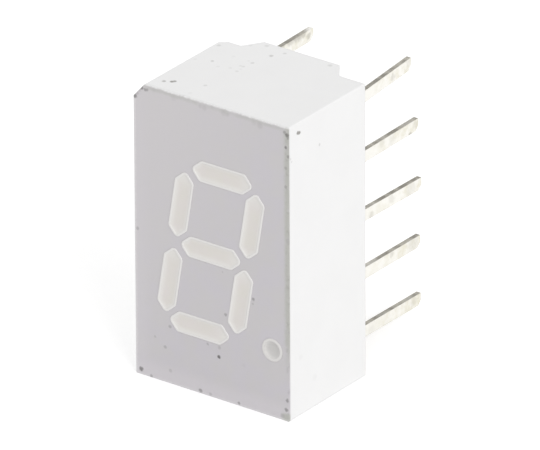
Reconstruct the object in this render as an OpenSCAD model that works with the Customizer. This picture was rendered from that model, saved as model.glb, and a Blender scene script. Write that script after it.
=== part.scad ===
// Seven segment display: one digit with a decimal point at its lower right, in a package of ten leads.
// It stands on its bottom end face with +Z up. The digit looks towards -Y and the leads point
// towards +Y. The origin is the centre of the bottom end face, between the side walls.

/* [Housing] */
// Housing to the right and left of the centre lines of the two lead rows
side_margin = 1.21; // [1.1:0.01:1.6]
// Housing above and below the centre lines of the outermost leads, before their drop
end_margin = 1.27; // [1.2:0.01:1.8]
// Depth of the side walls, from the front face to their rear edges
body_d = 5.05; // [4.6:0.05:6]
// Thickness of the two side walls
side_wall = 0.4; // [0.3:0.05:0.5]
// Thickness of the two end walls and of the standoff tabs that they carry
end_wall = 0.6; // [0.4:0.05:0.75]
// Radius of the upright corners inside the rear well
well_r = 0.3; // [0.1:0.05:0.5]
// Width of the cut at the top left corner, which marks lead 1
corner_w = 0.55; // [0.3:0.05:0.7]
// Height of the cut at the top left corner
corner_h = 0.63; // [0.3:0.01:0.75]
// Bevel between that cut and the rear edges
corner_bevel = 0.25; // [0.1:0.01:0.3]
// Radius of the long outer edges, which run from the front to the rear
edge_r = 0.06; // [0.02:0.01:0.12]

/* [Standoff tabs] */
// Reach of the tabs behind the side walls
standoff = 0.82; // [0.4:0.01:1.2]
// Width of a tab at its rear edge
standoff_w = 3.66; // [3:0.02:4]
// Slope of a tab's flanks, measured across at each side
standoff_flank = 0.54; // [0.2:0.02:0.7]
// Shift of the tabs to the right of the housing's middle
standoff_shift = 0.1; // [0:0.02:0.2]

/* [Digit] */
// Distance between the middle lines of bars a and g, and of g and d
bar_pitch = 3.42; // [3.2:0.01:3.6]
// Distance between the middle lines of the left and the right upright bars
column_pitch = 3.44; // [3.2:0.01:3.6]
// Length of the level bars over their rims
level_l = 2.85; // [2.7:0.01:3]
// Length of the upright bars over their rims, before the slant
upright_l = 2.86; // [2.7:0.01:2.9]
// Width of a bar over its rims
bar_w = 0.91; // [0.8:0.01:1]
// Radius of the corners of a window
window_r = 0.11; // [0.05:0.01:0.2]
// Width of the rim around a window
rim_w = 0.09; // [0.05:0.01:0.12]
// Rise of the rims above the print around them
rim_rise = 0.02; // [0.01:0.005:0.05]
// Slant of the digit, in degrees
slant = 9.5; // [0:0.5:12]
// Drop of the digit's middle below the middle of the housing
digit_drop = 0.08; // [0:0.01:0.3]
// Shift of the digit's middle to the left of the housing's middle
digit_shift = 0.04; // [0:0.01:0.1]

/* [Decimal point] */
// Distance of the decimal point from the outside of the right side wall
dp_inset = 0.82; // [0.8:0.01:0.95]
// Rise of the decimal point above the middle line of bar d
dp_rise = 0.06; // [0:0.01:0.1]
// Diameter of the decimal point over its rim
dp_d = 0.98; // [0.9:0.01:1.1]
// Width of the rim around the decimal point
dp_rim_w = 0.12; // [0.08:0.01:0.2]
// Diameter of the decimal point's cavity at its rear end
dp_rear_d = 0.9; // [0.88:0.01:0.95]

/* [Light cavities] */
// Depth of the cavities, from the rims to the shelf that the lead frame lies on
cavity_d = 3.02; // [2.2:0.02:3.4]
// Length of a bar's cavity at its rear end
cavity_rear_l = 1.9; // [1.8:0.02:2.2]
// Width of a bar's cavity at its rear end
cavity_rear_w = 0.66; // [0.6:0.01:0.72]

/* [Front mask] */
// Thickness of the grey print on the front
mask_t = 0.06; // [0.03:0.01:0.15]

/* [Epoxy] */
// Drop of the epoxy below the rims of the bars
window_drop = 0.07; // [0.02:0.01:0.1]
// Drop of the epoxy below the rim of the decimal point
dp_drop = 0.15; // [0.12:0.01:0.3]
// Drop of the epoxy below the rear edges of the side walls
fill_drop = 0.35; // [0.1:0.05:0.6]

/* [Leads] */
// Distance between neighbouring leads of a row
lead_pitch = 2.54; // [2.5:0.01:2.7]
// Distance between the two rows of leads
row_pitch = 5.08; // [5:0.02:5.4]
// Drop of both rows below the middle of the housing
lead_drop = 0.22; // [0:0.01:0.3]
// Width of a lead, measured up and down
lead_w = 0.5; // [0.4:0.01:0.6]
// Thickness of the lead frame's metal
lead_t = 0.22; // [0.15:0.01:0.3]
// Reach of the leads behind the side walls
lead_reach = 5.18; // [3:0.02:6]
// Inside radius of the bend that turns a lead towards the rear
bend_r = 0.2; // [0.1:0.01:0.3]
// Size of the cut at the lower corner of a lead's tip
tip_cut = 0.2; // [0.05:0.01:0.3]
// Distance behind the side walls where a lead's slight lean starts
lean_from = 0.8; // [0.5:0.05:1.5]
// Inward lean of each lead, from lead 1 to lead 10, in degrees
lean_angles = [-1.6, 0.6, 0, -0.5, 0.4, -0.8, -0.3, -1, 1, 5.6];

/* [Lead frame] */
// Length of the full-width strip between a lead's bend and its narrow arm
shoulder_l = 0.3; // [0.1:0.05:0.4]
// Width of the narrow arms inside the housing
arm_w = 0.3; // [0.2:0.01:0.32]
// Diameter of the pads that carry the chips
pad_d = 0.4; // [0.36:0.01:0.44]
// Diameter of the posts that the wires end on
post_d = 0.34; // [0.26:0.01:0.38]
// Distance from the middle of a chip to the middle of its post
post_gap = 0.55; // [0.5:0.01:0.58]

/* [Chips and wires] */
// Width and depth of a light emitting chip
chip_w = 0.25; // [0.2:0.01:0.27]
// Height of a chip above its pad
chip_h = 0.25; // [0.15:0.01:0.3]
// Diameter of a bond wire
wire_d = 0.03; // [0.02:0.005:0.04]
// Radius of a bond wire's loop
loop_r = 0.36; // [0.34:0.01:0.5]
// Diameter of the ball that joins a wire to its chip
ball_d = 0.1; // [0.06:0.01:0.12]
// Height of that ball
ball_h = 0.03; // [0.02:0.005:0.05]

/* [Hidden] */
$fn = 24;
// Leads in each row
ROW_COUNT = 5;
// Each light: its name, its column and row on the digit, whether it stands upright,
// which end of its cavity its post is at, and the number of its lead
LIGHTS = [
    ["a", 0, 1, false, 1, 10],
    ["b", 1, 0.5, true, 1, 9],
    ["c", 1, -0.5, true, 1, 8],
    ["d", 0, -1, false, -1, 5],
    ["e", -1, -0.5, true, -1, 4],
    ["f", -1, 0.5, true, 1, 2],
    ["g", 0, 0, false, -1, 3],
    ["dp", 0, -1, true, 1, 7]
];
// The two leads of the shared piece that carries the chips
COMMON = [1, 6];

body_w = row_pitch + 2 * side_margin;
body_h = (ROW_COUNT - 1) * lead_pitch + 2 * end_margin;
front_y = -body_d / 2;
rear_y = body_d / 2;
face_y = front_y + mask_t;
rim_y = front_y - rim_rise;
window_y = rim_y + window_drop;
shelf_y = rim_y + cavity_d;
fill_y = rear_y - fill_drop;
lean_y = rear_y + lean_from;
tip_y = rear_y + lead_reach;
digit_z = body_h / 2 - digit_drop;
digit_at = [-digit_shift, digit_z];
leads_z = body_h / 2 - lead_drop;
dp_x = body_w / 2 - dp_inset;
row_x = row_pitch / 2;
bend_x = row_x - lead_t / 2 - bend_r;
bend_y = shelf_y + lead_t + bend_r;
arm_x = bend_x - shoulder_l;
// Radius of the rims' corners, and how far the corner centres of a bar lie inside its outline
corner_r = window_r + rim_w;
half_w = bar_w / 2 - corner_r;

// ---- Places on the front view, as [x, z] ----

// The light of a given name
function light(name) = [for (l = LIGHTS) if (l[0] == name) l][0];

// A point that leans with the digit, given from the digit's middle
function slanted(x, z) = [x + z * tan(slant), z];

// Middle of a light's window
function light_at(l) =
    l[0] == "dp" ? [dp_x, digit_z - bar_pitch + dp_rise]
    : slanted(l[1] * column_pitch / 2, l[2] * bar_pitch) + digit_at;

// Direction in which a light's cavity is long, towards its post
function run(l) = l[4] * (l[3] ? (l[0] == "dp" ? [0, 1] : [sin(slant), cos(slant)]) : [1, 0]);

// A chip sits in the middle of a bar. The decimal point shares its round cavity with its post.
function chip_at(l) = light_at(l) - (l[0] == "dp" ? run(l) * post_gap / 2 : [0, 0]);
function post_at(l) = chip_at(l) + run(l) * post_gap;

// Side and height of a lead: 1 to 5 run down the left row, 6 to 10 run up the right row
function lead_side(n) = n <= ROW_COUNT ? -1 : 1;
function lead_z(n) = leads_z + lead_pitch * (n <= ROW_COUNT ? 3 - n : n - 8);

// Where a lead's shoulder becomes its arm, and where the arm turns towards its post
function arm_start(n) = [lead_side(n) * arm_x, lead_z(n)];
function arm_turn(l) =
    l[0] == "dp" ? [arm_x, post_at(l).y]
    : [post_at(l).x + (lead_z(l[5]) - post_at(l).y) * tan(slant), lead_z(l[5])];

// ---- Flat shapes ----

// Convex outline with round corners, from its corner centres in anticlockwise order
module rounded(centres, r) {
    n = len(centres);
    polygon([
        for (i = [0 : n - 1])
            let (p = centres[i], q = centres[(i + 1) % n], e = (q - p) / norm(q - p))
                each [p + r * [e.y, -e.x], q + r * [e.y, -e.x]]
    ]);
    for (p = centres) translate(p) circle(r);
}

// Corner centres of a bar: an upright or level hexagon that leans with the digit
function bar_centres(upright) =
    let (tip = (upright ? upright_l : level_l) / 2 - corner_r, side = tip - half_w)
        [for (p = [[tip, 0], [side, half_w], [-side, half_w], [-tip, 0], [-side, -half_w], [side, -half_w]])
            upright ? slanted(-p.y, p.x) : slanted(p.x, p.y)];

// Outline of a light: its window, or its rim's outer edge
module light_outline(l, rim) {
    if (l[0] == "dp") circle(d = dp_d - (rim ? 0 : 2 * dp_rim_w));
    else rounded(bar_centres(l[3]), rim ? corner_r : window_r);
}

// Centres of the round corners of a convex outline, from its sharp corners in the same order
function corner_centres(points, r) =
    let (n = len(points))
        [for (i = [0 : n - 1])
            let (
                before = points[i] - points[(i + n - 1) % n],
                after = points[(i + 1) % n] - points[i],
                a = [-before.y, before.x] / norm(before),
                b = [-after.y, after.x] / norm(after)
            )
                points[i] + r * (a + b) / (1 + a * b)];

module front_outline() {
    corners = [
        [-body_w / 2, 0],
        [body_w / 2, 0],
        [body_w / 2, body_h],
        [-body_w / 2 + corner_w, body_h],
        [-body_w / 2, body_h - corner_h]
    ];
    rounded(corner_centres(corners, edge_r), edge_r);
}

module well_outline() {
    x = body_w / 2 - side_wall - well_r;
    low = end_wall + well_r;
    high = body_h - end_wall - well_r;
    rounded([[-x, low], [x, low], [x, high], [-x, high]], well_r);
}

// Strip of metal along a path, with round ends and turns
module strip(path, w) {
    for (i = [1 : len(path) - 1])
        let (start = path[i - 1], step = path[i] - start)
            translate(start)
                rotate(atan2(step.y, step.x))
                    translate([0, -w / 2]) square([norm(step), w]);
    for (p = path) translate(p) circle(d = w);
}

module pad(centre, d) translate(centre) circle(d = d);

// ---- Placing ----

// Raises a front-view shape towards the rear, from depth y. At its rear end it measures share times
// its front size.
module raised(y, h, share = [1, 1]) {
    translate([0, y, 0])
        rotate([-90, 0, 0])
            linear_extrude(height = h, scale = share, slices = 1) mirror([0, 1]) children();
}

// Puts what is drawn about the origin on a light's middle
module at(p) translate([p.x, 0, p.y]) children();

// ---- Housing ----

module housing() {
    color([0.94, 0.94, 0.93]) {
        difference() {
            union() {
                raised(face_y, rear_y - face_y) front_outline();
                rims();
                standoff_tab(0);
                standoff_tab(body_h - end_wall);
            }
            raised(shelf_y, body_d) well_outline();
            for (l = LIGHTS) cavity(l);
            rear_bevel();
        }
    }
}

// Wedge along the rear edge of the cut corner. Its own X points into the housing, its Z along the cut.
module rear_bevel() {
    b = corner_bevel;
    translate([-body_w / 2 + corner_w, rear_y, body_h])
        rotate([0, atan2(corner_w, corner_h), 0])
            linear_extrude(height = 2 * (corner_w + corner_h), center = true)
                polygon([[-b, -2 * b], [2 * b, b], [-b, b]]);
}

// Rims around the windows, standing above the print and rooted behind it
module rims() {
    for (l = LIGHTS) at(light_at(l)) raised(rim_y, rim_rise + 2 * mask_t) light_outline(l, true);
}

// Tapered shaft behind a window, down to the lead frame
module cavity(l) {
    long = cavity_rear_l / ((l[3] ? upright_l : level_l) - 2 * rim_w);
    wide = cavity_rear_w / (bar_w - 2 * rim_w);
    at(light_at(l))
        if (l[0] == "dp")
            translate([0, rim_y, 0])
                rotate([-90, 0, 0]) cylinder(h = cavity_d, d1 = dp_d - 2 * dp_rim_w, d2 = dp_rear_d);
        else
            raised(rim_y, cavity_d, l[3] ? [wide, long] : [long, wide]) light_outline(l, false);
}

// Tab that carries on an end wall to the rear and keeps the housing off the board. Its root lies
// inside the wall, as deep as the wall is thick, so that the two are one piece.
module standoff_tab(z) {
    foot = standoff_w / 2 + standoff_flank;
    head = standoff_w / 2;
    translate([standoff_shift, rear_y, z])
        linear_extrude(height = end_wall)
            polygon([
                [-foot, -end_wall],
                [foot, -end_wall],
                [foot, 0],
                [head, standoff],
                [-head, standoff],
                [-foot, 0]
            ]);
}

// ---- Front mask ----

module front_mask() {
    color([0.78, 0.77, 0.78])
        raised(front_y, mask_t)
            difference() {
                front_outline();
                for (l = LIGHTS) translate(light_at(l)) light_outline(l, true);
            }
}

// ---- Epoxy ----

// One casting: it fills the cavities nearly up to their rims and covers the lead frame in the well
module epoxy_fill() {
    color([0.86, 0.84, 0.81])
        difference() {
            union() {
                raised(shelf_y, fill_y - shelf_y) well_outline();
                for (l = LIGHTS) cavity(l);
            }
            translate([-body_w / 2, window_y - cavity_d, 0]) cube([body_w, cavity_d, body_h]);
            at(light_at(light("dp"))) raised(rim_y, dp_drop) circle(d = dp_d);
            lead_common();
            for (l = LIGHTS) {
                lead(l);
                chip(l);
                wire(l);
            }
        }
}

// ---- Leads ----

// Side view of a lead of the right row, in X and Y: shoulder, bend, leg and leaning end
module lead_profile(lean) {
    half_t = lead_t / 2;
    kink = half_t * tan(lean / 2);
    tip_x = row_x - (tip_y - lean_y) * tan(lean);
    tip_half_t = half_t / cos(lean);
    outer_r = bend_r + lead_t;
    difference() {
        union() {
            polygon([
                [arm_x, shelf_y],
                [bend_x, shelf_y],
                [row_x + half_t, bend_y],
                [row_x + half_t, lean_y + kink],
                [tip_x + tip_half_t, tip_y],
                [tip_x - tip_half_t, tip_y],
                [row_x - half_t, lean_y - kink],
                [row_x - half_t, bend_y],
                [bend_x, shelf_y + lead_t],
                [arm_x, shelf_y + lead_t]
            ]);
            translate([bend_x, bend_y])
                intersection() {
                    circle(outer_r);
                    translate([0, -outer_r]) square(outer_r);
                }
        }
        translate([bend_x, bend_y]) circle(bend_r);
    }
}

// Outline of a lead's metal seen along X, in Y and Z, with its cut corner at the tip
module lead_outline() {
    half = lead_w / 2;
    polygon([
        [rim_y, -half],
        [tip_y - tip_cut, -half],
        [tip_y, -half + tip_cut],
        [tip_y, half],
        [rim_y, half]
    ]);
}

// Full-width part of a lead of the right row, at height zero: what its two views have in common
module leg(lean) {
    intersection() {
        linear_extrude(height = 2 * lead_w, center = true) lead_profile(lean);
        rotate([90, 0, 90]) linear_extrude(height = row_pitch) lead_outline();
    }
}

module leg_of(n) {
    translate([0, 0, lead_z(n)])
        if (lead_side(n) < 0) mirror([1, 0, 0]) leg(lean_angles[n - 1]);
        else leg(lean_angles[n - 1]);
}

// Lead of one light, with the post that the light's wire ends on
module lead(l) {
    color([0.76, 0.74, 0.68]) {
        raised(shelf_y, lead_t) {
            strip([arm_start(l[5]), arm_turn(l), post_at(l)], arm_w);
            pad(post_at(l), post_d);
        }
        leg_of(l[5]);
    }
}

// Shared piece: it carries every chip on its pads and leaves the housing as leads 1 and 6
module lead_common() {
    top = lead_z(COMMON[0]);
    bottom = lead_z(COMMON[1]);
    dp_chip = chip_at(light("dp"));
    dp_turn = (bottom + dp_chip.y) / 2;
    color([0.76, 0.74, 0.68]) {
        raised(shelf_y, lead_t) {
            strip(concat(
                [arm_start(COMMON[0]), slanted(0, top - digit_z) + digit_at],
                [for (name = ["a", "g", "d"]) chip_at(light(name))],
                [slanted(0, bottom - digit_z) + digit_at, arm_start(COMMON[1])]
            ), arm_w);
            strip([chip_at(light("f")), chip_at(light("b"))], arm_w);
            strip([chip_at(light("e")), chip_at(light("c"))], arm_w);
            strip([arm_start(COMMON[1]), [arm_x, dp_turn], [dp_chip.x, dp_turn], dp_chip], arm_w);
            for (l = LIGHTS) pad(chip_at(l), pad_d);
        }
        for (n = COMMON) leg_of(n);
    }
}

// ---- Chips and wires ----

module chip(l) {
    color([0.42, 0.4, 0.36])
        at(chip_at(l))
            translate([-chip_w / 2, shelf_y - chip_h, -chip_w / 2]) cube([chip_w, chip_h, chip_w]);
}

// Bond wire from the ball on a chip, over a low loop, to the light's post
module wire(l) {
    // In the wire's own plane: u runs from the chip to the post, v rises from the lead frame
    low = [post_gap, 0];
    high = [0, chip_h];
    chord = high - low;
    rise = sqrt(loop_r * loop_r - chord * chord / 4);
    centre = (low + high) / 2 - rise * [chord.y, -chord.x] / norm(chord);
    from = atan2((low - centre).y, (low - centre).x);
    to = atan2((high - centre).y, (high - centre).x);
    spare = atan2(wire_d, loop_r);
    color([0.85, 0.68, 0.3])
        at(chip_at(l))
            translate([0, shelf_y, 0])
                rotate([0, -atan2(run(l).y, run(l).x), 0])
                    rotate([180, 0, 0])
                        difference() {
                            union() {
                                translate(concat(centre, 0))
                                    rotate([0, 0, from - spare])
                                        rotate_extrude(angle = to - from + 2 * spare)
                                            translate([loop_r, 0]) circle(d = wire_d);
                                translate([0, chip_h, 0])
                                    rotate([-90, 0, 0]) cylinder(h = ball_h, d = ball_d);
                            }
                            translate([-chip_w / 2, 0, -chip_w / 2]) cube([chip_w, chip_h, chip_w]);
                            translate([low.x - post_d / 2, -lead_t, -post_d / 2])
                                cube([post_d, lead_t, post_d]);
                        }
}

housing();
front_mask();
epoxy_fill();
lead_common();
for (l = LIGHTS) {
    lead(l);
    chip(l);
    wire(l);
}
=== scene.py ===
import math

import bmesh
import bpy
from mathutils import Matrix, Vector


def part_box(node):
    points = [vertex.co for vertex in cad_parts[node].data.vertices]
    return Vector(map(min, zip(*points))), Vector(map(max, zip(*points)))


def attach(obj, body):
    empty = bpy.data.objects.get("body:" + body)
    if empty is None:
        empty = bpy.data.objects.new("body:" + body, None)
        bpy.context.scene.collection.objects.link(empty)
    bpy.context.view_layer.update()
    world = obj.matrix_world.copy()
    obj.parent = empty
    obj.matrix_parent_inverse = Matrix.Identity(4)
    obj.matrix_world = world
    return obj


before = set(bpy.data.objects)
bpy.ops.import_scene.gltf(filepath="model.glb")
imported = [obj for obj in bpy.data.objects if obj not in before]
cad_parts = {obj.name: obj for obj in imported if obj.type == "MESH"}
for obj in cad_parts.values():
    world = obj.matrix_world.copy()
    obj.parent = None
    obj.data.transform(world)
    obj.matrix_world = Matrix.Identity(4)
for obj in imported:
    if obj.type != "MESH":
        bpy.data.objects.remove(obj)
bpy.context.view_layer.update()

MM = 0.001

# ---- Sizes taken from the frame, and the digit's layout, which repeats the CAD source, in mm ----

housing_low, housing_high = (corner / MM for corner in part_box("housing"))
LEFT = housing_low.x
RIGHT = housing_high.x
TOP = housing_high.z
RIM_Y = housing_low.y

SLANT = math.tan(math.radians(9.5))
DIGIT_X = -0.04
DIGIT_Z = TOP / 2 - 0.08
BAR_PITCH = 3.42
COLUMN_PITCH = 3.44
LEVEL_L = 2.85
UPRIGHT_L = 2.86
BAR_W = 0.91
RIM_W = 0.09
WINDOW_R = 0.11
POINT_X = RIGHT - 0.82
POINT_Z = DIGIT_Z - BAR_PITCH + 0.06
POINT_D = 0.98
POINT_RIM_W = 0.12
# Name, column and row of each bar, and whether it stands upright
BARS = [
    ("a", 0, 1, False),
    ("b", 1, 0.5, True),
    ("c", 1, -0.5, True),
    ("d", 0, -1, False),
    ("e", -1, -0.5, True),
    ("f", -1, 0.5, True),
    ("g", 0, 0, False),
]

# ---- The windows' surfaces, which only this script has, in mm ----

# How far they reach under the rims, and how far their edges lie behind the rims' front
UNDER_RIM = 0.01
EDGE_BACK = 0.004
BAR_DIP = 0.03
POINT_DIP = 0.1
# Steps in a round corner and round the decimal point, and the longest step on a straight edge
CORNER_STEPS = 6
POINT_STEPS = 48
LONGEST_STEP = 0.15
# Where the rings of points lie, as shares of the way from a window's edge to its middle
RING_SHARES = [0, 0.04, 0.1, 0.18, 0.28, 0.4, 0.55, 0.75, 1]
# Points nearer to each other than this are one
WELD = 0.0001
# How far into a window the painted light of its rim reaches
BAR_REACH = 0.26
POINT_REACH = 0.15
# How much faster that light falls off from the upper and right sides of a bar
UPPER_RIGHT_FALL = 0.5
# How fast it falls off from the upper or right tip, against that from the other sides
TIP_FALL = 0.35

# ---- Marks, in mm: middle, radius, strength ----

# Share of its radius in which a mark has its full strength
MARK_CORE = 0.35
# Specks of dirt on the top end face
TOP_MARKS = [
    ((-0.75, 2.46, 0), 0.13, 0.42),
    ((-0.95, 1.5, 0), 0.11, 0.3),
    ((-1.18, 1.56, 0), 0.06, 0.17),
    ((-1.92, 1.56, 0), 0.12, 0.08),
    ((-2.33, 0.73, 0), 0.1, 0.37),
    ((-1.85, 0.45, 0), 0.11, 0.11),
    ((-1.38, 0.62, 0), 0.11, 0.11),
    ((-1.17, 1.01, 0), 0.08, 0.21),
    ((-1.05, 1.02, 0), 0.1, 0.21),
    ((-0.98, 0.77, 0), 0.08, 0.12),
    ((-0.99, 0.53, 0), 0.1, 0.2),
    ((-1.21, -1.24, 0), 0.11, 0.24),
    ((-1.27, -2.15, 0), 0.12, 0.08),
    ((-2.98, 0.47, 0), 0.1, 0.1),
    ((-0.45, 2.95, 0), 0.11, 0.25),
    ((-1.44, 3.11, 0), 0.14, 0.2),
    ((-1.99, 2.76, 0), 0.1, 0.14),
    ((1.65, 3.09, 0), 0.13, 0.24),
    ((-2.99, 2.04, 0), 0.12, 0.26),
    ((-2.47, -1.73, 0), 0.12, 1.0),
    ((-2.41, -1.64, 0), 0.11, 0.9),
    ((-2.75, -1.88, 0), 0.12, 0.6),
]
# Specks on the right side
RIGHT_MARKS = [
    ((0, -1.91, 12.28), 0.11, 1.0),
    ((0, -1.81, 12.24), 0.11, 1.0),
    ((0, -0.49, 11.23), 0.08, 0.3),
    ((0, -2.39, 11.33), 0.07, 0.25),
    ((0, -2.32, 11.18), 0.06, 0.2),
    ((0, -0.85, 1.29), 0.2, 0.06),
    ((0, -1.77, 2.53), 0.18, 0.05),
]
# Specks and rubbed spots on the print
FRONT_MARKS = [
    ((0.53, 0, 5.61), 0.06, 0.2),
    ((2.02, 0, 4.85), 0.1, 0.5),
    ((1.99, 0, 4.64), 0.07, 0.25),
    ((0.67, 0, 3.8), 0.1, 0.42),
    ((-2.07, 0, 2.49), 0.11, 0.33),
    ((-2.31, 0, 1.53), 0.1, 0.3),
    ((-2.81, 0, 1.85), 0.08, 0.22),
    ((-0.23, 0, 2.26), 0.08, 0.3),
    ((0.35, 0, 2.27), 0.11, 0.22),
    ((0.32, 0, 1.86), 0.11, 0.9),
    ((-2.06, 0, 0.57), 0.11, 0.22),
    ((1.54, 0, 1.84), 0.12, 0.05),
    ((-3.62, 0, 6.34), 0.11, 0.3),
    ((3.44, 0, 3.26), 0.06, 0.04),
    ((-3.5, 0, 0.23), 0.14, 0.75),
    ((-0.59, 0, 0.12), 0.12, 0.55),
    ((-0.1, 0, 0.1), 0.11, 0.26),
    ((-3.01, 0, 0.06), 0.1, 0.4),
    ((1.29, 0, 0.11), 0.09, 0.5),
    ((3.6, 0, 0.49), 0.12, 0.6),
    ((3.64, 0, 0.91), 0.11, 0.55),
    ((3.4, 0, 0.19), 0.14, 0.24),
    ((-3.69, 0, 12.07), 0.14, 0.7),
    ((-3.35, 0, 12.5), 0.12, 0.65),
    ((-3.6, 0, 12.23), 0.13, 0.25),
    ((-3.47, 0, 12.38), 0.12, 0.2),
    ((-3.17, 0, 12.46), 0.1, 0.5),
    ((-3.08, 0, 12.48), 0.09, 0.45),
    ((-2.75, 0, 12.54), 0.14, 0.04),
    ((-1.8, 0, 12.46), 0.17, 0.06),
    ((3.68, 0, 12.39), 0.13, 0.7),
    ((3.56, 0, 12.48), 0.1, 0.45),
    ((3.73, 0, 12.28), 0.09, 0.35),
    ((3.62, 0, 11.85), 0.09, 0.65),
    ((3.74, 0, 11.48), 0.1, 0.45),
    ((3.62, 0, 10.97), 0.1, 0.3),
    ((3.61, 0, 10.16), 0.1, 0.3),
    ((0.62, 0, 12.49), 0.17, 0.1),
    ((0.8, 0, 12.47), 0.12, 0.1),
    ((2.1, 0, 12.48), 0.16, 0.08),
    ((2.38, 0, 12.45), 0.2, 0.13),
    ((-0.5, 0, 12.48), 0.13, 0.12),
    ((-0.31, 0, 12.46), 0.16, 0.12),
]

# Stains on the leads, and in the last five marks, darkening of lead 1 towards its upper edge
LEAD_MARKS = [
    ((2.38, 6.3, 11.2), 0.2, 0.55),
    ((2.3, 7.5, 11.3), 0.24, 0.3),
    ((2.63, 7.1, 8.45), 0.16, 1.0),
    ((2.62, 7.5, 8.75), 0.32, 0.3),
    ((2.63, 5.9, 8.7), 0.34, 0.25),
    ((2.63, 5.2, 8.8), 0.26, 0.25),
    ((2.66, 5.75, 6.2), 0.26, 0.35),
    ((2.66, 4.4, 5.98), 0.24, 0.5),
    ((2.66, 7.0, 6.15), 0.45, 0.3),
    ((2.66, 7.2, 3.65), 0.5, 0.35),
    ((2.66, 5.8, 3.72), 0.22, 0.5),
    ((2.66, 7.2, 1.1), 0.25, 0.3),
    ((2.66, 4.4, 0.95), 0.3, 0.2),
    ((-2.5, 7.4, 11.25), 0.22, 0.8),
    ((-2.43, 5.6, 11.5), 0.22, 0.6),
    ((-2.43, 6.1, 11.5), 0.3, 0.8),
    ((-2.43, 6.45, 11.5), 0.34, 1.0),
    ((-2.43, 6.75, 11.5), 0.34, 1.0),
    ((-2.43, 7.0, 11.5), 0.3, 1.0),
]

# Where tin lies on the leads' sheared edges
TIN_MARKS = [
    ((-2.4, 7.7, 11.46), 0.65, 1.0),
    ((2.54, 5.3, 8.95), 0.5, 0.15),
    ((2.54, 7.0, 8.98), 0.5, 0.25),
    ((2.54, 4.4, 6.36), 0.5, 0.2),
    ((2.54, 4.5, 3.84), 0.6, 0.4),
    ((2.54, 5.2, 1.28), 0.4, 0.2),
    ((2.54, 7.0, 1.25), 0.35, 0.25),
]

# ---- Colours ----

PLASTIC_WHITE = (0.862, 0.86, 0.858)
PLASTIC_RIM = (0.815, 0.802, 0.785)
# Painted highlight: the rims' colour where their edges turn to the right, towards the lamp
PLASTIC_RIM_HIGHLIGHT = (0.9, 0.885, 0.865)
PLASTIC_RING = (0.745, 0.73, 0.715)
PLASTIC_GRIME = (0.3, 0.29, 0.27)
PRINT_GREY = (0.595, 0.573, 0.605)
PRINT_WARM = (0.597, 0.578, 0.588)
# Painted light: the print's colour to the upper left, where it is lit more
PRINT_PAINTED_LIGHT = (0.63, 0.608, 0.62)
PRINT_FADED = (0.64, 0.615, 0.64)
# Painted shade along the print's right and top edges and in its lower right corner
PRINT_EDGE_SHADE = (0.497, 0.497, 0.468)
PRINT_DIRT = (0.12, 0.115, 0.11)
# Painted light: the glow of the bars' epoxy near their rims
EPOXY_RIM_GLOW = (0.79, 0.775, 0.75)
EPOXY_PINK = (0.742, 0.705, 0.682)
EPOXY_CREAM = (0.737, 0.71, 0.666)
# Painted light: the glow of the decimal point's epoxy near its rim
POINT_RIM_GLOW = (0.73, 0.715, 0.7)
# Painted shade: the decimal point's epoxy greyed as if deep in its shadowed recess
POINT_PAINTED_SHADE = (0.6, 0.588, 0.576)
TIN = (0.875, 0.86, 0.815)
TIN_STAINED = (0.73, 0.7, 0.58)
TIN_DIRT = (0.55, 0.53, 0.47)
SHEARED = (0.28, 0.265, 0.228)
SHEARED_PALE = (0.5, 0.478, 0.42)
CHIP_GREY = (0.15, 0.14, 0.12)
GOLD = (0.8, 0.58, 0.22)
WHITE = (1, 1, 1)

# How round the edges look, in mm
PLASTIC_EDGE_R = 0.05
LEAD_EDGE_R = 0.05
FINE_EDGE_R = 0.02
BEVEL_SAMPLES = 8

# ---- Light, floor and camera: in metres, with the target, the lens and the sensor in mm ----

# How strongly the sky lights the part. Where it is seen, its strength is 1
SKY = 0.8
LAMP_DIRECTION = Vector((0.79, -0.35, 0.5)).normalized()
LAMP_DISTANCE = 1.5
LAMP_SIZE = 0.9
LAMP_POWER = 7.6

FLOOR_REACH = 2
FLOOR_CELLS = 8
FLOOR_PALE = (0.85, 0.85, 0.85)
# What the floor adds where it is seen, so that only a shadow makes it darker than white
FLOOR_LIFT = 0.2

CAMERA_AZIMUTH = math.radians(36.54)
CAMERA_ELEVATION = math.radians(25.65)
CAMERA_ROLL = math.radians(-0.29)
CAMERA_TARGET = Vector((2.84, -2.518, 8.299))
CAMERA_DISTANCE = 0.5
CAMERA_LENS = 857.3
CAMERA_SENSOR = 36


# ---- Node helpers ----

def add(tree, kind, inputs=(), **settings):
    """Adds a node. Each input is a value, or a socket to link from."""
    made = tree.nodes.new(kind)
    for name, value in settings.items():
        setattr(made, name, value)
    for name, value in dict(inputs).items():
        if isinstance(value, bpy.types.NodeSocket):
            tree.links.new(value, made.inputs[name])
        else:
            made.inputs[name].default_value = value
    return made


def calc(tree, operation, *values, clamp=False):
    made = add(tree, "ShaderNodeMath", enumerate(values), operation=operation, use_clamp=clamp)
    return made.outputs[0]


def vector(tree, operation, *values):
    return add(tree, "ShaderNodeVectorMath", enumerate(values), operation=operation).outputs[0]


def distance(tree, a, b):
    made = add(tree, "ShaderNodeVectorMath", {0: a, 1: b}, operation="DISTANCE")
    return made.outputs["Value"]


def product(tree, first, *others):
    for value in others:
        first = calc(tree, "MULTIPLY", first, value)
    return first


def greatest(tree, first, *others):
    for value in others:
        first = calc(tree, "MAXIMUM", first, value)
    return first


def between(tree, share, low, high):
    """Low where share is 0, high where it is 1, in proportion between."""
    return calc(tree, "MULTIPLY_ADD", share, high - low, low)


def ramp(tree, value, low, high):
    """0 where value is low, 1 where it is high, smooth between. Low may be the larger."""
    return add(
        tree,
        "ShaderNodeMapRange",
        {"Value": value, "From Min": low, "From Max": high},
        interpolation_type="SMOOTHSTEP",
    ).outputs["Result"]


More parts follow.
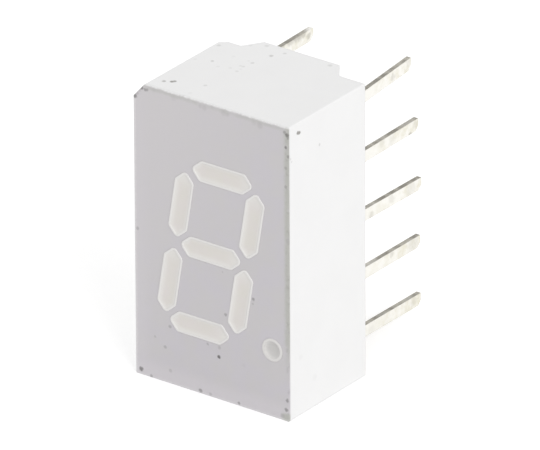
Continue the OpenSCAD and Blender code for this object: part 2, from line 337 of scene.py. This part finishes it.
def blend(tree, factor, a, b):
    """Colour a where factor is 0, colour b where it is 1."""
    made = add(tree, "ShaderNodeMix", {"Factor": factor}, data_type="RGBA")
    for socket, value in ((made.inputs[6], a), (made.inputs[7], b)):
        if isinstance(value, bpy.types.NodeSocket):
            tree.links.new(value, socket)
        else:
            socket.default_value = (*value, 1)
    return made.outputs[2]


def noise(tree, place, scale, detail=3.0, roughness=0.55):
    inputs = {"Vector": place, "Scale": scale, "Detail": detail, "Roughness": roughness}
    return add(tree, "ShaderNodeTexNoise", inputs).outputs["Fac"]


def millimetres(tree):
    """The place on the part, in millimetres in the row frame."""
    place = add(tree, "ShaderNodeTexCoord").outputs["Object"]
    return vector(tree, "MULTIPLY", place, (1 / MM,) * 3)


def axes(tree, place):
    return add(tree, "ShaderNodeSeparateXYZ", {0: place}).outputs


def spots(tree, place, flat, marks):
    """How dark the marks make the surface. Flat is 0 along the axis that the marks' surface
    faces, and 1 along the others."""
    flattened = vector(tree, "MULTIPLY", place, flat)
    total = 0.0
    for middle, radius, strength in marks:
        apart = distance(tree, flattened, middle)
        near = ramp(tree, apart, radius, radius * MARK_CORE)
        total = greatest(tree, product(tree, near, strength), total)
    return total


def ragged(tree, place, scale, amount):
    """The place, shifted a little at random, so that what is drawn from it gets an uneven
    outline."""
    inputs = {"Vector": place, "Scale": scale, "Detail": 2.0}
    grain = add(tree, "ShaderNodeTexNoise", inputs).outputs["Color"]
    centred = vector(tree, "SUBTRACT", grain, (0.5, 0.5, 0.5))
    return vector(tree, "MULTIPLY_ADD", centred, (amount,) * 3, place)


def softened(tree, radius):
    """The direction that the surface faces, as if its edges were rounded by radius mm."""
    inputs = {"Radius": radius * MM}
    return add(tree, "ShaderNodeBevel", inputs, samples=BEVEL_SAMPLES).outputs["Normal"]


def new_material(name):
    material = bpy.data.materials.new(name)
    material.use_nodes = True
    tree = material.node_tree
    return material, tree, tree.nodes["Principled BSDF"]


def finish_surface(tree, shader, colour, roughness, height, relief, edge_r=FINE_EDGE_R):
    """Links colour, roughness and a bump of relief mm to the shader, and softens the edges."""
    inputs = {
        "Height": height,
        "Distance": relief * MM,
        "Strength": 1.0,
        "Normal": softened(tree, edge_r),
    }
    bump = add(tree, "ShaderNodeBump", inputs)
    tree.links.new(colour, shader.inputs["Base Color"])
    tree.links.new(roughness, shader.inputs["Roughness"])
    tree.links.new(bump.outputs["Normal"], shader.inputs["Normal"])


def darker(colour, share):
    return tuple(channel * share for channel in colour)


# ---- Materials ----

def rim_colour(tree, place):
    """The windows' rims: a painted highlight where their edges turn to the right, towards the lamp,
    and duller round the decimal point."""
    # Painted highlight where the softened edge faces right
    highlight_share = ramp(tree, axes(tree, softened(tree, PLASTIC_EDGE_R))["X"], 0.0, 0.4)
    colour = blend(tree, highlight_share, PLASTIC_RIM, PLASTIC_RIM_HIGHLIGHT)
    from_point = distance(tree, place, (POINT_X, RIM_Y, POINT_Z))
    return blend(tree, ramp(tree, from_point, 0.7, 0.6), colour, PLASTIC_RING)


def white_plastic():
    """Moulded white plastic: satin, faintly uneven, with specks on the top and the right side."""
    material, tree, shader = new_material("white_plastic")
    place = millimetres(tree)
    side, depth, height = axes(tree, place)
    uneven = ramp(tree, noise(tree, place, scale=0.5), 0.3, 0.7)
    colour = blend(tree, uneven, PLASTIC_WHITE, darker(PLASTIC_WHITE, 0.985))
    on_rim = ramp(tree, depth, RIM_Y + 0.03, RIM_Y + 0.01)
    colour = blend(tree, on_rim, colour, rim_colour(tree, place))
    on_top = ramp(tree, height, TOP - 0.04, TOP - 0.02)
    on_right = ramp(tree, side, RIGHT - 0.04, RIGHT - 0.02)
    shifted = ragged(tree, place, scale=9.0, amount=0.06)
    top_dirt = product(tree, spots(tree, shifted, (1, 1, 0), TOP_MARKS), on_top)
    right_dirt = product(tree, spots(tree, shifted, (0, 1, 1), RIGHT_MARKS), on_right)
    colour = blend(tree, greatest(tree, top_dirt, right_dirt), colour, PLASTIC_GRIME)
    roughness = between(tree, noise(tree, place, scale=6.0), 0.38, 0.52)
    grain = noise(tree, place, scale=14.0, detail=4.0)
    finish_surface(tree, shader, colour, roughness, grain, relief=0.003, edge_r=PLASTIC_EDGE_R)
    return material


def print_tone(tree, place, across, up):
    """The print itself: mottled, with painted light that makes it lighter to the upper left, and
    faded at the left and at the bottom.
    """
    mottled = ramp(tree, noise(tree, place, scale=1.1, detail=4.0), 0.35, 0.65)
    colour = blend(tree, mottled, PRINT_GREY, PRINT_WARM)
    to_lower_right = calc(tree, "SUBTRACT", across, product(tree, up, 0.7))
    # Painted light, lighter to the upper left
    colour = blend(tree, ramp(tree, to_lower_right, -2, -12.5), colour, PRINT_PAINTED_LIGHT)
    faded_left = product(tree, ramp(tree, across, LEFT + 0.9, LEFT + 0.2), 0.5)
    faded_bottom = ramp(tree, up, 1.0, 0.25)
    return blend(tree, greatest(tree, faded_left, faded_bottom), colour, PRINT_FADED)


def print_edge_shade(tree, place, across, up):
    """How much painted shade darkens the print along its right and top edges and in its lower right
    corner.
    """
    uneven = noise(tree, place, scale=1.6, detail=2.0)
    right_band = product(
        tree,
        ramp(tree, across, RIGHT - 0.3, RIGHT - 0.1),
        ramp(tree, up, 1.9, 3.6),
        ramp(tree, uneven, 0.2, 0.5),
    )
    top_band = product(
        tree,
        ramp(tree, up, TOP - 0.26, TOP - 0.14),
        between(tree, ramp(tree, uneven, 0.4, 0.6), 0.25, 0.55),
    )
    corner = product(
        tree,
        ramp(tree, across, RIGHT - 0.45, RIGHT - 0.2),
        ramp(tree, up, 0.4, 0.25),
    )
    return greatest(tree, right_band, corner, top_band)


def print_nicks(tree, place, across):
    """Fine dark nicks close to the right edge."""
    uneven = ramp(tree, noise(tree, place, scale=3.5, detail=4.0), 0.52, 0.66)
    return product(tree, uneven, ramp(tree, across, RIGHT - 0.18, RIGHT - 0.06), 0.16)


def print_rub(tree, across, up):
    """How far the print is rubbed down to the plastic, at its left, bottom and top edges."""
    left = ramp(tree, across, LEFT + 0.14, LEFT + 0.02)
    bottom = ramp(tree, up, 0.12, 0.02)
    top = ramp(tree, up, TOP - 0.09, TOP + 0.01)
    return greatest(tree, product(tree, greatest(tree, left, bottom), 0.35), top)


def grey_print():
    """Grey print on the front: flat, with painted shade along its right and top edges, rubbed
    edges, and specks.
    """
    material, tree, shader = new_material("grey_print")
    place = millimetres(tree)
    across, _, up = axes(tree, ragged(tree, place, scale=7.0, amount=0.09))
    colour = print_tone(tree, place, across, up)
    # Painted shade along the right and top edges
    colour = blend(tree, print_edge_shade(tree, place, across, up), colour, PRINT_EDGE_SHADE)
    colour = blend(tree, print_nicks(tree, place, across), colour, PRINT_DIRT)
    colour = blend(tree, print_rub(tree, across, up), colour, PLASTIC_WHITE)
    dirt = spots(tree, ragged(tree, place, scale=12.0, amount=0.08), (1, 0, 1), FRONT_MARKS)
    colour = blend(tree, dirt, colour, PRINT_DIRT)
    roughness = between(tree, noise(tree, place, scale=5.0), 0.5, 0.65)
    grain = noise(tree, place, scale=22.0)
    finish_surface(tree, shader, colour, roughness, grain, relief=0.002)
    return material


def epoxy(name, rim, middle_a, middle_b, reach):
    """Milky cast epoxy. A window's own attribute says how far in a place lies, and the colour rim
    is painted light from the rim, which brightens it as far in as reach."""
    material, tree, shader = new_material(name)
    place = millimetres(tree)
    cloudy = ramp(tree, noise(tree, place, scale=1.3), 0.35, 0.65)
    middle = blend(tree, cloudy, middle_a, middle_b)
    inward = add(tree, "ShaderNodeAttribute", attribute_name="inward").outputs["Fac"]
    # Painted light from the rim, fading inward
    colour = blend(tree, ramp(tree, inward, -0.05, reach), rim, middle)
    roughness = between(tree, noise(tree, place, scale=4.0), 0.3, 0.42)
    finish_surface(tree, shader, colour, roughness, noise(tree, place, scale=3.0), relief=0.004)
    return material


def sheared_colour(tree, place):
    """The sheared edges of the leads: bare, patchy metal, with tin in places."""
    patchy = ramp(tree, noise(tree, place, scale=2.2), 0.38, 0.68)
    bare = blend(tree, patchy, SHEARED, SHEARED_PALE)
    return blend(tree, spots(tree, place, (1, 1, 1), TIN_MARKS), bare, TIN)


def tinned_lead():
    """Tin plated strip: bright faces with stains, and dull sheared edges above and below."""
    material, tree, shader = new_material("tinned_lead")
    place = millimetres(tree)
    outward = ramp(tree, axes(tree, place)["Y"], 2.5, 8.0)
    uneven = noise(tree, place, scale=1.7, detail=4.0, roughness=0.7)
    stains = product(tree, ramp(tree, uneven, 0.38, 0.7), outward)
    colour = blend(tree, stains, TIN, TIN_STAINED)
    dirt = spots(tree, ragged(tree, place, scale=4.0, amount=0.3), (1, 1, 1), LEAD_MARKS)
    colour = blend(tree, dirt, colour, TIN_DIRT)
    upward = calc(tree, "ABSOLUTE", axes(tree, softened(tree, LEAD_EDGE_R))["Z"])
    sheared = ramp(tree, upward, 0.8, 0.98)
    colour = blend(tree, sheared, colour, sheared_colour(tree, place))
    roughness = between(tree, sheared, 0.3, 0.55)
    tree.links.new(between(tree, sheared, 0.85, 0.5), shader.inputs["Metallic"])
    grain = noise(tree, place, scale=9.0, detail=4.0)
    finish_surface(tree, shader, colour, roughness, grain, relief=0.003)
    return material


def plain_inside(name, colour, metallic):
    """What lies inside the epoxy: chips and wires."""
    material, tree, shader = new_material(name)
    place = millimetres(tree)
    shader.inputs["Metallic"].default_value = metallic
    tint = blend(tree, noise(tree, place, scale=8.0), colour, darker(colour, 0.8))
    roughness = between(tree, noise(tree, place, scale=20.0), 0.3, 0.4)
    finish_surface(tree, shader, tint, roughness, noise(tree, place, scale=30.0), relief=0.001)
    return material


def dress_nodes():
    """Gives each CAD node the material that the first word of its name asks for."""
    materials = {
        "housing": white_plastic(),
        "front": grey_print(),
        "epoxy": epoxy("diffused_epoxy", EPOXY_CREAM, EPOXY_PINK, EPOXY_CREAM, BAR_REACH),
        "lead": tinned_lead(),
        "chip": plain_inside("chip", CHIP_GREY, metallic=0.0),
        "wire": plain_inside("bond_wire", GOLD, metallic=1.0),
    }
    for name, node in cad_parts.items():
        node.data.materials.clear()
        node.data.materials.append(materials[name.split("_")[0]])


# ---- Windows ----

def corner_arcs(centres, radius):
    """Points of a convex outline with round corners, from its corner centres in anticlockwise
    order."""
    points = []
    for i, centre in enumerate(centres):
        before = centre - centres[i - 1]
        after = centres[(i + 1) % len(centres)] - centre
        start = math.atan2(-before.x, before.y)
        turn = -before.angle_signed(after)
        for k in range(CORNER_STEPS + 1):
            angle = start + turn * k / CORNER_STEPS
            points.append(centre + radius * Vector((math.cos(angle), math.sin(angle))))
    return points


def with_points_between(outline):
    """The outline with points added on its straight edges, so that no step is a long one."""
    points = []
    for i, point in enumerate(outline):
        before = outline[i - 1]
        steps = max(math.ceil((point - before).length / LONGEST_STEP), 1)
        points += [before.lerp(point, (k + 1) / steps) for k in range(steps)]
    return points


def bar_outline(column, row, upright):
    """Outline of a bar's window and the ends of the line along its middle, on the front view."""
    corner_r = WINDOW_R + RIM_W
    tip = (UPRIGHT_L if upright else LEVEL_L) / 2 - corner_r
    half_w = BAR_W / 2 - corner_r
    side = tip - half_w
    lean = row * BAR_PITCH * SLANT
    middle = Vector((DIGIT_X + column * COLUMN_PITCH / 2 + lean, DIGIT_Z + row * BAR_PITCH))

    def place(along, out):
        x, z = (-out, along) if upright else (along, out)
        return middle + Vector((x + z * SLANT, z))

    upper = [(tip, 0), (side, half_w), (-side, half_w)]
    lower = [(-tip, 0), (-side, -half_w), (side, -half_w)]
    outline = corner_arcs([place(*corner) for corner in upper + lower], WINDOW_R + UNDER_RIM)
    return with_points_between(outline), place(side, 0), place(-side, 0)


def point_outline():
    """Outline of the decimal point's window and its middle, on the front view."""
    middle = Vector((POINT_X, POINT_Z))
    turns = [2 * math.pi * k / POINT_STEPS for k in range(POINT_STEPS)]
    radius = POINT_D / 2 - POINT_RIM_W + UNDER_RIM
    return [middle + radius * Vector((math.cos(t), math.sin(t))) for t in turns], middle


def nearest(point, start, end):
    """The point nearest to a point on the line from start to end."""
    if start == end:
        return start
    line = end - start
    return start + line * min(max((point - start).dot(line) / line.length_squared, 0), 1)


def bar_depth(outline, start, end):
    """A function that says how far in a place in a bar lies, as its rim's painted light falls
    off: faster from the upper and right sides, and slowly from the upper or right tip."""
    to_tip = (start - end).normalized()
    reach = max((point - start).dot(to_tip) for point in outline)

    def depth(at, edge):
        outward = (edge - nearest(edge, start, end)).normalized()
        fall = 1 + UPPER_RIGHT_FALL * max(outward.x + outward.y, 0)
        from_tip = reach - (at - start).dot(to_tip)
        return min((at - edge).length * fall, from_tip * TIP_FALL)

    return depth


def window_rings(mesh, outline, start, end, dip, depth):
    """Rings of points from the outline to the line from start to end, each with its depth."""
    inward = mesh.verts.layers.float.new("inward")
    rings = []
    for share in RING_SHARES:
        y = RIM_Y + EDGE_BACK + dip * (1 - (1 - share) ** 3)
        ring = []
        for edge in outline:
            at = edge.lerp(nearest(edge, start, end), share)
            vertex = mesh.verts.new(Vector((at.x, y, at.y)) * MM)
            vertex[inward] = depth(at, edge)
            ring.append(vertex)
        rings.append(ring)
    return rings


def join_rings(mesh, rings):
    """Smooth faces between the rings, looking to the front."""
    for outer, inner in zip(rings, rings[1:]):
        for k in range(len(outer)):
            mesh.faces.new((outer[k - 1], outer[k], inner[k], inner[k - 1]))
    bmesh.ops.remove_doubles(mesh, verts=mesh.verts, dist=WELD * MM)
    bmesh.ops.recalc_face_normals(mesh, faces=mesh.faces)
    if sum(face.normal.y for face in mesh.faces) > 0:
        bmesh.ops.reverse_faces(mesh, faces=mesh.faces)
    for face in mesh.faces:
        face.smooth = True


def new_piece(name, mesh, material):
    data = bpy.data.meshes.new(name)
    mesh.to_mesh(data)
    mesh.free()
    data.materials.append(material)
    piece = bpy.data.objects.new(name, data)
    bpy.context.scene.collection.objects.link(piece)
    return piece


def dished_window(name, outline, start, end, dip, depth, material):
    """Surface of the epoxy in a window: it clings to the rim and dips towards the middle."""
    mesh = bmesh.new()
    join_rings(mesh, window_rings(mesh, outline, start, end, dip, depth))
    piece = new_piece(name, mesh, material)
    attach(piece, "root")


def make_windows():
    material = epoxy("window_epoxy", EPOXY_RIM_GLOW, EPOXY_PINK, EPOXY_CREAM, BAR_REACH)
    for name, column, row, upright in BARS:
        outline, start, end = bar_outline(column, row, upright)
        depth = bar_depth(outline, start, end)
        dished_window(f"window_{name}", outline, start, end, BAR_DIP, depth, material)
    # The decimal point: painted rim light, and painted shade over its deep middle
    point_material = epoxy("point_epoxy", POINT_RIM_GLOW, POINT_PAINTED_SHADE, POINT_PAINTED_SHADE, POINT_REACH)
    outline, middle = point_outline()

    def from_edge(at, edge):
        return (at - edge).length

    dished_window("window_dp", outline, middle, middle, POINT_DIP, from_edge, point_material)


# ---- Stage ----

def seen_directly(tree):
    """1 for what the camera sees directly, in gloss or through clear parts."""
    path = add(tree, "ShaderNodeLightPath").outputs
    seen = calc(tree, "ADD", path["Is Camera Ray"], path["Is Glossy Ray"])
    return calc(tree, "ADD", seen, path["Is Transmission Ray"], clamp=True)


def make_world():
    """An even sky that lights the part by SKY and is seen as white."""
    world = bpy.data.worlds.new("studio")
    bpy.context.scene.world = world
    world.use_nodes = True
    tree = world.node_tree
    sky = tree.nodes["Background"]
    sky.inputs["Color"].default_value = (*WHITE, 1)
    strength = between(tree, seen_directly(tree), SKY, 1)
    tree.links.new(strength, sky.inputs["Strength"])


def floor_material():
    """Pale to the light, and lifted to white where it is seen, apart from the part's shadow."""
    material = bpy.data.materials.new("floor")
    material.use_nodes = True
    tree = material.node_tree
    tree.nodes.remove(tree.nodes["Principled BSDF"])
    plain = add(tree, "ShaderNodeBsdfDiffuse", {"Color": (*FLOOR_PALE, 1)})
    white = add(tree, "ShaderNodeBsdfDiffuse", {"Color": (*WHITE, 1)})
    lift = add(tree, "ShaderNodeEmission", {"Color": (*WHITE, 1), "Strength": FLOOR_LIFT})
    seen = add(tree, "ShaderNodeAddShader", {0: white.outputs[0], 1: lift.outputs[0]})
    inputs = {0: seen_directly(tree), 1: plain.outputs[0], 2: seen.outputs[0]}
    mix = add(tree, "ShaderNodeMixShader", inputs)
    tree.links.new(mix.outputs[0], tree.nodes["Material Output"].inputs["Surface"])
    return material


def make_floor():
    mesh = bmesh.new()
    bmesh.ops.create_grid(mesh, x_segments=FLOOR_CELLS, y_segments=FLOOR_CELLS, size=FLOOR_REACH)
    floor = new_piece("floor", mesh, floor_material())
    floor.location.z = housing_low.z * MM


def make_lamp():
    lamp = bpy.data.lights.new("key", "AREA")
    lamp.shape = "SQUARE"
    lamp.size = LAMP_SIZE
    lamp.energy = LAMP_POWER
    piece = bpy.data.objects.new("key", lamp)
    piece.location = LAMP_DIRECTION * LAMP_DISTANCE
    piece.rotation_mode = "QUATERNION"
    piece.rotation_quaternion = LAMP_DIRECTION.to_track_quat("Z", "Y")
    piece.visible_camera = False
    bpy.context.scene.collection.objects.link(piece)


def camera_axes():
    """Where the camera's right, its top and its view point."""
    right = Vector((math.cos(CAMERA_AZIMUTH), math.sin(CAMERA_AZIMUTH), 0))
    ahead = Vector(
        (
            -math.sin(CAMERA_AZIMUTH) * math.cos(CAMERA_ELEVATION),
            math.cos(CAMERA_AZIMUTH) * math.cos(CAMERA_ELEVATION),
            -math.sin(CAMERA_ELEVATION),
        )
    )
    up = right.cross(ahead)
    rolled_right = right * math.cos(CAMERA_ROLL) + up * math.sin(CAMERA_ROLL)
    rolled_up = up * math.cos(CAMERA_ROLL) - right * math.sin(CAMERA_ROLL)
    return rolled_right, rolled_up, ahead


def make_camera():
    """The photograph's view: from the right and above, with a very long lens."""
    right, up, ahead = camera_axes()
    turned = Matrix((right, up, -ahead)).transposed().to_4x4()
    camera = bpy.data.objects.new("camera", bpy.data.cameras.new("camera"))
    camera.data.sensor_width = CAMERA_SENSOR
    camera.data.lens = CAMERA_LENS
    place = CAMERA_TARGET * MM - ahead * CAMERA_DISTANCE
    camera.matrix_world = Matrix.Translation(place) @ turned
    bpy.context.scene.collection.objects.link(camera)
    bpy.context.scene.camera = camera


make_camera()
make_world()
make_floor()
make_lamp()
dress_nodes()
make_windows()

bpy.context.scene.view_settings.view_transform = "Standard"
